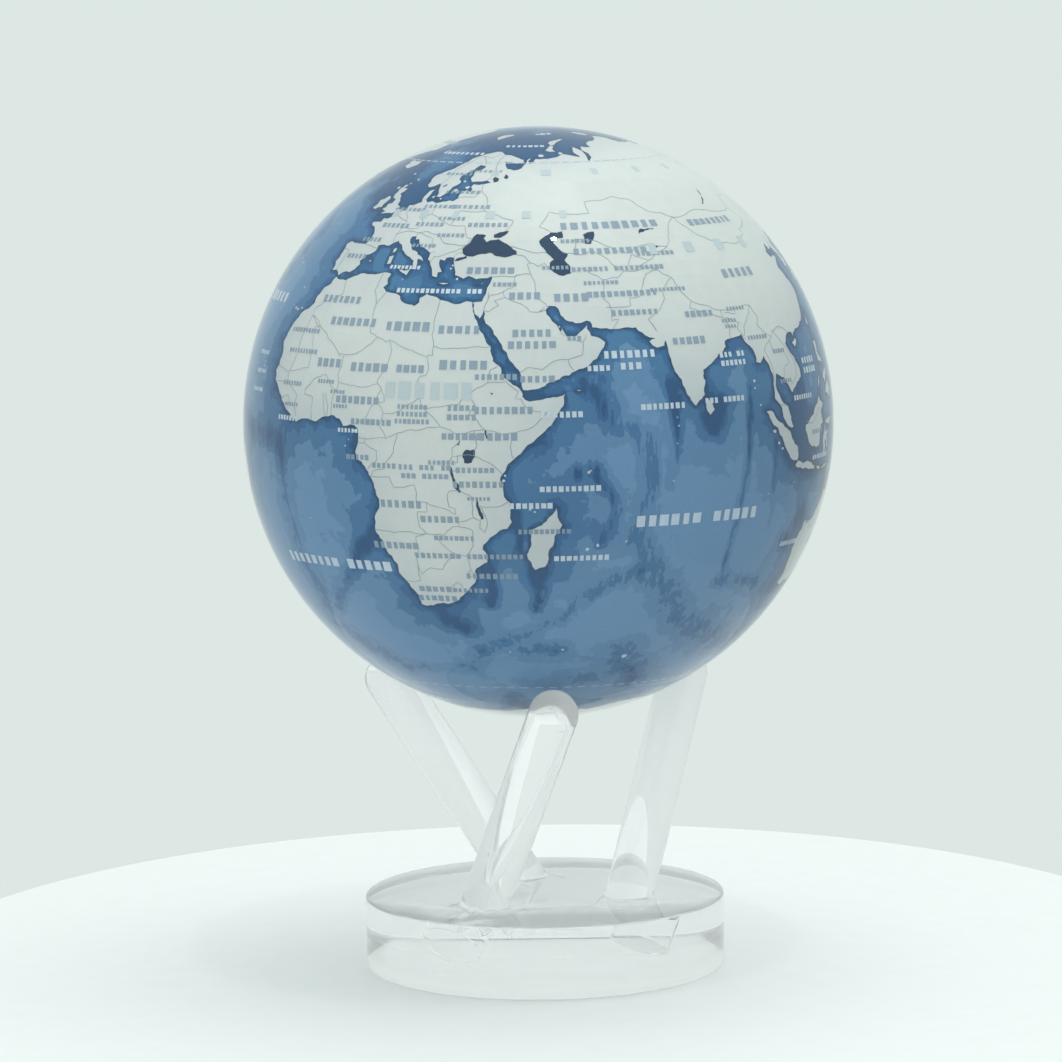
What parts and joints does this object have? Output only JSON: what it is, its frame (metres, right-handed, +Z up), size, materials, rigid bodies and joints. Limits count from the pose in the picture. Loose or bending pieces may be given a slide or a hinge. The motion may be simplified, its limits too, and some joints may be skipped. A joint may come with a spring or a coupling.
{
  "type": "desktop globe on stand",
  "caption": "Clear ball with a floating printed world globe that turns by itself inside it, resting on slanted clear rods set in a thick clear disc.",
  "frame": {"origin": "centre of the disc's underside, on the table", "axes": "+Z up through the ball's centre; -Y is the side that faces the viewer"},
  "size_m": [0.1524, 0.1524, 0.2181],
  "materials": {
    "clear_acrylic": "polished",
    "clear_shell": "polished",
    "seal_rubber": "satin",
    "float_liquid": "polished",
    "printed_globe": "satin",
    "carrier_plastic": "matte",
    "black_plastic": "matte",
    "solar_silicon": "satin",
    "copper_winding": "satin",
    "brass_metal": "satin",
    "jewel": "polished",
    "steel_shaft": "polished",
    "magnet_ferrite": "matte",
    "lead_red": "satin",
    "lead_black": "satin"
  },
  "bodies": {
    "stand": {"base_disc": "clear_acrylic", "leg_front": "clear_acrylic", "leg_right": "clear_acrylic", "leg_left": "clear_acrylic"},
    "outer_ball": {"outer_shell_upper": "clear_shell", "outer_shell_lower": "clear_shell", "fill_plug": "clear_shell", "plug_seal": "seal_rubber", "fluid_layer": "float_liquid"},
    "inner_globe": {"inner_globe_upper": "printed_globe", "inner_globe_lower": "printed_globe", "carrier_plate": "carrier_plastic", "frame_screws": "brass_metal", "cell_housing": "carrier_plastic", "solar_cell_1": "solar_silicon", "solar_cell_2": "solar_silicon", "solar_cell_3": "solar_silicon", "solar_cell_4": "solar_silicon", "coil_formers": "black_plastic", "drive_coils": "copper_winding", "brush_block": "black_plastic", "brushes": "brass_metal", "upper_jewel": "jewel", "lower_jewel": "jewel", "bearing_bridge": "carrier_plastic", "bridge_screws": "brass_metal", "ballast_weight": "brass_metal", "ballast_screw": "brass_metal", "lead_positive": "lead_red", "lead_negative": "lead_black"},
    "compass": {"magnet_shaft": "steel_shaft", "commutator": "brass_metal", "compass_magnet": "magnet_ferrite", "magnet_collar": "brass_metal"}
  },
  "joints": [
    {"name": "globe_lift", "type": "slide", "parent": "stand", "child": "outer_ball", "axis": [0, 0, 1], "range_m": [0, 0.1]},
    {"name": "globe_spin", "type": "hinge", "parent": "outer_ball", "child": "inner_globe", "pos_m": [0, 0, 0.1419], "axis": [0, 0, 1], "continuous": true},
    {"name": "compass_spin", "type": "hinge", "parent": "inner_globe", "child": "compass", "pos_m": [0, 0, 0.1419], "axis": [0, 0, 1], "continuous": true}
  ],
  "couplings": [
    {"joint": "compass_spin", "follows": "globe_spin", "ratio": -1}
  ]
}
